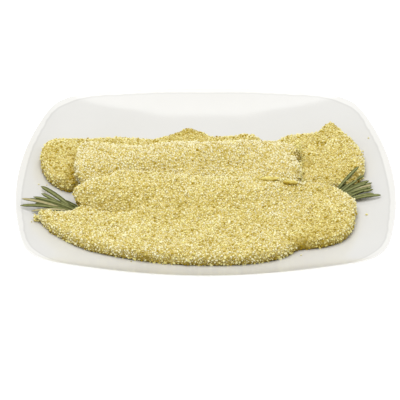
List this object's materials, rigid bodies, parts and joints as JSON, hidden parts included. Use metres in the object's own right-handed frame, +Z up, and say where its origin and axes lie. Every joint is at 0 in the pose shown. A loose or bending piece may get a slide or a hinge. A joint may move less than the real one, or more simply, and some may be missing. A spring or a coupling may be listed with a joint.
{
  "type": "schnitzel",
  "caption": "Breadcrumbed cutlets piled on a square white plate with bowed sides and round corners, garnished with rosemary.",
  "frame": {"origin": "centre of the plate, on the surface that its foot ring stands on", "axes": "+Z up, -Y towards the diner (the long edge of the largest cutlet), +X to the right"},
  "size_m": [0.3, 0.3, 0.0333],
  "materials": {
    "porcelain": "glossy white glaze",
    "breading": "coarse dry yellow breadcrumbs",
    "rosemary": "satin green leaves"
  },
  "bodies": {
    "root": {"plate": "porcelain", "schnitzel_back_left": "breading", "schnitzel_back_right": "breading", "schnitzel_middle": "breading", "schnitzel_front": "breading", "rosemary_left": "rosemary", "rosemary_right": "rosemary"}
  },
  "joints": []
}
